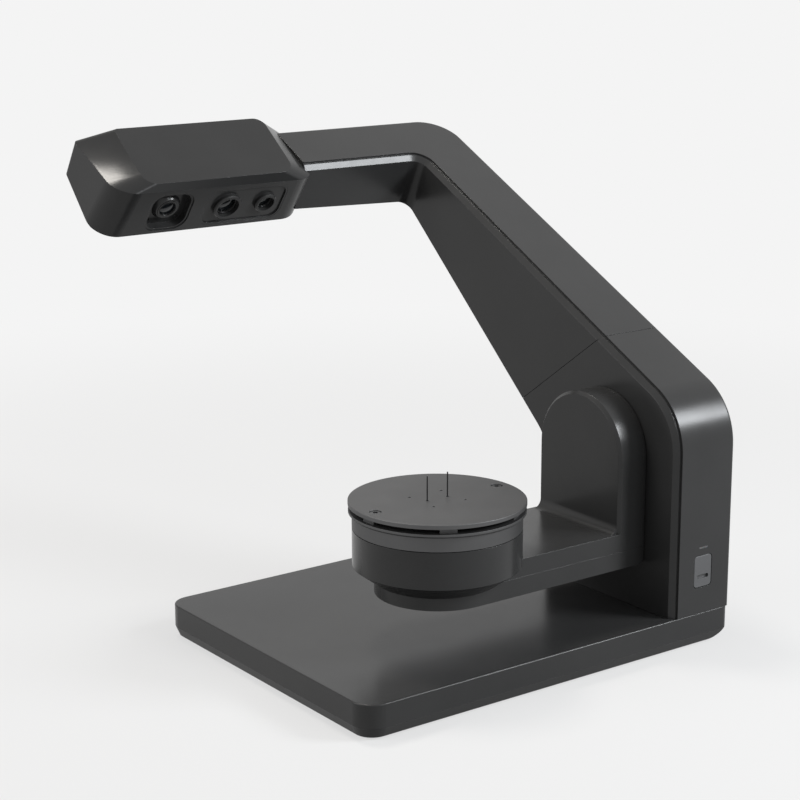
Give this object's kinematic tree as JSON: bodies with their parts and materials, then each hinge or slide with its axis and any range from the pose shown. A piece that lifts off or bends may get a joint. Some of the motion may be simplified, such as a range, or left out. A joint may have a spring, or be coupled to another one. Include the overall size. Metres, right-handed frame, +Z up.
{
  "type": "desktop 3d scanner",
  "caption": "Desktop 3D scanner: flat base, leaning column and beam with a scan head of cameras and projector above a tilting swing arm and turntable.",
  "frame": {"origin": "middle of the base's footprint, on the floor under the rubber feet", "axes": "+X to the right, towards the column; +Y to the back, the way the column leans; +Z up"},
  "size_m": [0.2699, 0.2927, 0.2907],
  "materials": {
    "dark_shell": "satin injection-moulded housing",
    "black_plastic": "black moulded plastic",
    "steel": "machined steel",
    "aluminium": "cast and milled aluminium",
    "rubber": "soft rubber",
    "brass": "turned brass",
    "circuit_board": "printed circuit board",
    "plate_paint": "dark coated aluminium plate",
    "lens_glass": "coated optical glass",
    "button_plastic": "grey moulded plastic",
    "light_plastic": "clear light guide"
  },
  "bodies": {
    "stand": {"base_deck_shell": "dark_shell", "base_bottom_tray": "dark_shell", "rubber_feet": "rubber", "ballast_plate": "steel", "base_screws": "steel", "column_outer_shell": "dark_shell", "column_side_cover": "dark_shell", "arm_outer_shell": "dark_shell", "arm_side_cover": "dark_shell", "column_frame_plate": "aluminium", "arm_spine": "aluminium", "swing_bearing_housing": "aluminium", "swing_bearings": "steel", "swing_motor": "steel", "swing_motor_bracket": "aluminium", "main_board": "circuit_board", "power_inlet": "black_plastic", "usb_socket": "black_plastic", "power_switch": "black_plastic", "button_board": "circuit_board", "power_light_guide": "light_plastic", "head_lower_shell": "dark_shell", "head_top_cover": "dark_shell", "head_frame_plate": "aluminium", "head_bracket": "aluminium", "left_lens_pocket": "black_plastic", "pocket_screws": "steel", "lens_panel": "black_plastic", "left_camera_barrel": "black_plastic", "left_camera_glass": "lens_glass", "left_camera_body": "aluminium", "projector_barrel": "black_plastic", "projector_glass": "lens_glass", "projector_body": "aluminium", "right_camera_barrel": "black_plastic", "right_camera_glass": "lens_glass", "right_camera_body": "aluminium"},
    "swing_arm": {"swing_arm_upper_shell": "dark_shell", "swing_arm_lower_shell": "dark_shell", "swing_arm_back_cover": "dark_shell", "swing_arm_frame": "aluminium", "swing_shaft": "steel", "swing_gear": "brass", "turntable_drum": "dark_shell", "spindle_bearings": "steel", "turntable_motor": "steel"},
    "turntable": {"turntable_platter": "plate_paint", "fixture_plate": "plate_paint", "plate_screws": "steel", "support_pins": "steel", "turntable_spindle": "steel", "turntable_gear": "brass"},
    "swing_pinion": {"swing_motor_pinion": "steel"},
    "turntable_pinion": {"turntable_motor_pinion": "steel"},
    "button": {"power_button": "button_plastic"}
  },
  "joints": [
    {"name": "arm_swing", "type": "hinge", "parent": "stand", "child": "swing_arm", "pos_m": [0.09, -0.0415, 0.111], "axis": [-1, 0, 0], "range_deg": [-40, 60]},
    {"name": "turntable_spin", "type": "hinge", "parent": "swing_arm", "child": "turntable", "pos_m": [-0.0387, -0.0415, 0.0926], "axis": [0, 0, 1], "continuous": true},
    {"name": "swing_pinion_spin", "type": "hinge", "parent": "stand", "child": "swing_pinion", "pos_m": [0.1165, -0.0415, 0.0774], "axis": [-1, 0, 0], "range_deg": [-305, 205]},
    {"name": "turntable_pinion_spin", "type": "hinge", "parent": "swing_arm", "child": "turntable_pinion", "pos_m": [-0.0675, -0.0415, 0.081], "axis": [0, 0, 1], "continuous": true},
    {"name": "button_press", "type": "slide", "parent": "stand", "child": "button", "axis": [0, 1, 0], "range_m": [0, 0.001], "stiffness_N_per_m": 600, "springref_m": -0.002}
  ],
  "couplings": [
    {"joint": "swing_pinion_spin", "follows": "arm_swing", "ratio": -5},
    {"joint": "turntable_pinion_spin", "follows": "turntable_spin", "ratio": -5}
  ]
}
